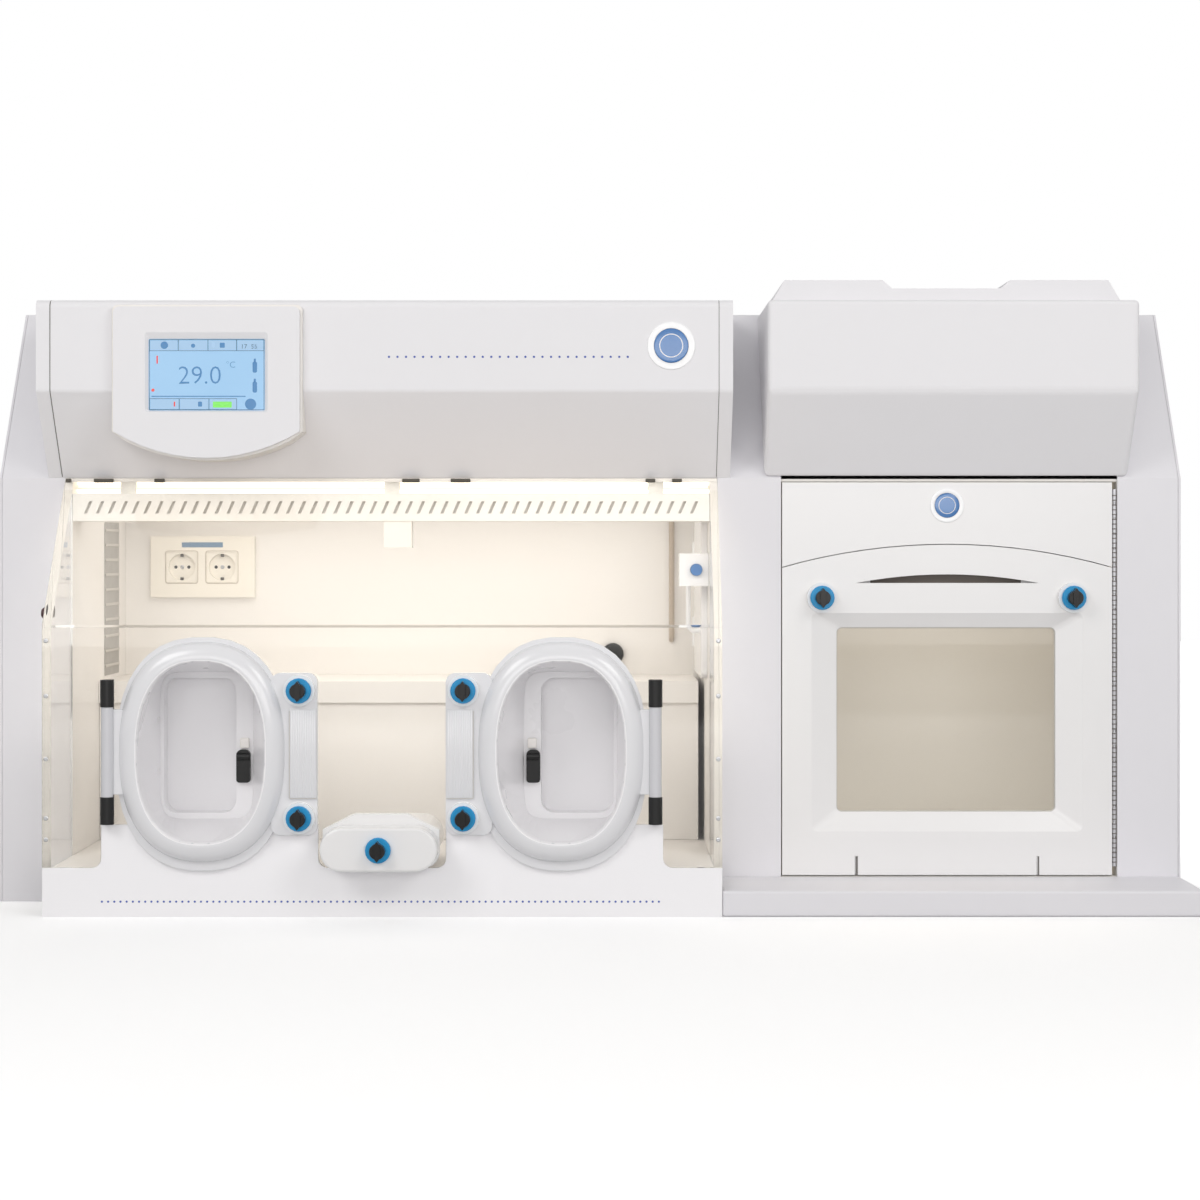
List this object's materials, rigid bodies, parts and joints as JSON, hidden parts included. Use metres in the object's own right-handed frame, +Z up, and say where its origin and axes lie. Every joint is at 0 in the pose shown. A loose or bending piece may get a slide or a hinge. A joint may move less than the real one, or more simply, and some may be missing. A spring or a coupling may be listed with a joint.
{
  "type": "anaerobic chamber",
  "caption": "Bench anaerobic chamber with a clear sloped front, oval arm ports on hinged flanges, a plate drawer and a side airlock with a drop-down door.",
  "frame": {"origin": "centre of the footprint's width and depth on the bench, on the cabinet's underside", "axes": "+X to the airlock's side, +Y from the clear front to the back, +Z up"},
  "size_m": [1.562, 0.8376, 0.8215],
  "materials": {
    "cabinet_white": "fine powder coat, cool white",
    "hood_white": "satin moulded cover",
    "moulded_white": "smooth moulding, warm white",
    "chamber_cream": "satin lining, cream white",
    "clear_acrylic": "clear cast sheet with polished edges",
    "knob_blue": "blue moulding",
    "black_plastic": "black moulding",
    "hinge_grey": "plain steel hinge",
    "screen_blue": "lit touch screen",
    "lamp_white": "opal lamp tube",
    "conduit_brown": "thin brown tube"
  },
  "bodies": {
    "cabinet": {"cabinet_base": "cabinet_white", "cabinet_left_side": "cabinet_white", "cabinet_right_side": "cabinet_white", "cabinet_back": "cabinet_white", "cabinet_top": "cabinet_white", "left_wing": "cabinet_white", "centre_post": "cabinet_white", "right_wing": "cabinet_white", "front_base_panel": "cabinet_white", "airlock_shelf": "cabinet_white", "left_hood": "hood_white", "left_hood_outer_cap": "hood_white", "left_hood_inner_cap": "hood_white", "right_hood": "hood_white", "display_bezel": "hood_white", "entry_housing": "moulded_white", "air_duct": "moulded_white", "socket_plate": "moulded_white", "switch_box": "moulded_white", "chamber_left_wall": "chamber_cream", "chamber_right_wall": "chamber_cream", "chamber_back_wall": "chamber_cream", "chamber_floor": "chamber_cream", "chamber_roof": "chamber_cream", "chamber_bench": "chamber_cream", "airlock_liner": "chamber_cream", "display_housing": "chamber_cream", "left_cheek": "clear_acrylic", "right_cheek": "clear_acrylic", "front_window": "clear_acrylic", "sloped_window": "clear_acrylic", "left_port_hinge": "black_plastic", "right_port_hinge": "black_plastic", "back_wall_plug": "black_plastic", "airlock_hinge": "hinge_grey", "display_screen": "screen_blue", "lamp_tube": "lamp_white", "conduit": "conduit_brown"},
    "left_port": {"left_port_flange": "clear_acrylic", "left_port_pod": "moulded_white"},
    "right_port": {"right_port_flange": "clear_acrylic", "right_port_pod": "moulded_white"},
    "left_inner_port_door": {"left_port_door": "moulded_white"},
    "right_inner_port_door": {"right_port_door": "moulded_white"},
    "left_latch": {"left_port_latch": "black_plastic"},
    "right_latch": {"right_port_latch": "black_plastic"},
    "left_upper_knob": {"left_port_upper_knob": "knob_blue"},
    "left_lower_knob": {"left_port_lower_knob": "knob_blue"},
    "right_upper_knob": {"right_port_upper_knob": "knob_blue"},
    "right_lower_knob": {"right_port_lower_knob": "knob_blue"},
    "drawer": {"entry_drawer": "moulded_white"},
    "drawer_knob": {"entry_knob": "knob_blue"},
    "airlock_front": {"airlock_frame": "moulded_white"},
    "airlock_outer_door": {"airlock_door": "moulded_white", "airlock_pane": "clear_acrylic"},
    "airlock_knob_left": {"airlock_left_knob": "knob_blue"},
    "airlock_knob_right": {"airlock_right_knob": "knob_blue"},
    "inner_door": {"inner_airlock_door": "moulded_white"},
    "button": {"switch_button": "knob_blue"}
  },
  "joints": [
    {"name": "left_port_swing", "type": "hinge", "parent": "cabinet", "child": "left_port", "pos_m": [-0.609, -0.392, 0.21], "axis": [0, 0, -1], "range_deg": [0, 100]},
    {"name": "right_port_swing", "type": "hinge", "parent": "cabinet", "child": "right_port", "pos_m": [0.083, -0.392, 0.21], "axis": [0, 0, 1], "range_deg": [0, 100]},
    {"name": "left_port_door_swing", "type": "hinge", "parent": "left_port", "child": "left_inner_port_door", "pos_m": [-0.5695, -0.281, 0.21], "axis": [0, 0, 1], "range_deg": [0, 95]},
    {"name": "right_port_door_swing", "type": "hinge", "parent": "right_port", "child": "right_inner_port_door", "pos_m": [0.0435, -0.281, 0.21], "axis": [0, 0, -1], "range_deg": [0, 95]},
    {"name": "left_latch_turn", "type": "hinge", "parent": "left_inner_port_door", "child": "left_latch", "pos_m": [-0.452, -0.2847, 0.1958], "axis": [0, 1, 0], "range_deg": [0, 90]},
    {"name": "right_latch_turn", "type": "hinge", "parent": "right_inner_port_door", "child": "right_latch", "pos_m": [-0.074, -0.2847, 0.1958], "axis": [0, -1, 0], "range_deg": [0, 90]},
    {"name": "left_upper_knob_turn", "type": "hinge", "parent": "left_port", "child": "left_upper_knob", "pos_m": [-0.3665, -0.3973, 0.2876], "axis": [0, 1, 0], "range_deg": [0, 90]},
    {"name": "left_lower_knob_turn", "type": "hinge", "parent": "left_port", "child": "left_lower_knob", "pos_m": [-0.3665, -0.3973, 0.1267], "axis": [0, 1, 0], "range_deg": [0, 90]},
    {"name": "right_upper_knob_turn", "type": "hinge", "parent": "right_port", "child": "right_upper_knob", "pos_m": [-0.1595, -0.3973, 0.2876], "axis": [0, 1, 0], "range_deg": [0, 90]},
    {"name": "right_lower_knob_turn", "type": "hinge", "parent": "right_port", "child": "right_lower_knob", "pos_m": [-0.1595, -0.3973, 0.1267], "axis": [0, 1, 0], "range_deg": [0, 90]},
    {"name": "drawer_slide", "type": "slide", "parent": "cabinet", "child": "drawer", "axis": [0, -1, 0], "range_m": [0, 0.12]},
    {"name": "drawer_knob_turn", "type": "hinge", "parent": "drawer", "child": "drawer_knob", "pos_m": [-0.263, -0.4366, 0.0915], "axis": [0, 1, 0], "range_deg": [0, 90]},
    {"name": "airlock_front_swing", "type": "hinge", "parent": "cabinet", "child": "airlock_front", "pos_m": [0.6937, -0.2402, 0.28], "axis": [0, 0, 1], "range_deg": [0, 90]},
    {"name": "airlock_door_drop", "type": "hinge", "parent": "airlock_front", "child": "airlock_outer_door", "pos_m": [0.4722, -0.2385, 0.04], "axis": [1, 0, 0], "range_deg": [0, 90]},
    {"name": "airlock_left_knob_turn", "type": "hinge", "parent": "airlock_outer_door", "child": "airlock_knob_left", "pos_m": [0.3062, -0.2505, 0.402], "axis": [0, 1, 0], "range_deg": [0, 90]},
    {"name": "airlock_right_knob_turn", "type": "hinge", "parent": "airlock_outer_door", "child": "airlock_knob_right", "pos_m": [0.6382, -0.2505, 0.402], "axis": [0, 1, 0], "range_deg": [0, 90]},
    {"name": "inner_door_swing", "type": "hinge", "parent": "cabinet", "child": "inner_door", "pos_m": [0.1507, 0.076, 0.4], "axis": [0, 0, -1], "range_deg": [0, 90]},
    {"name": "button_press", "type": "slide", "parent": "cabinet", "child": "button", "axis": [0, 1, 0], "range_m": [0, 0.003], "stiffness_N_per_m": 400}
  ]
}
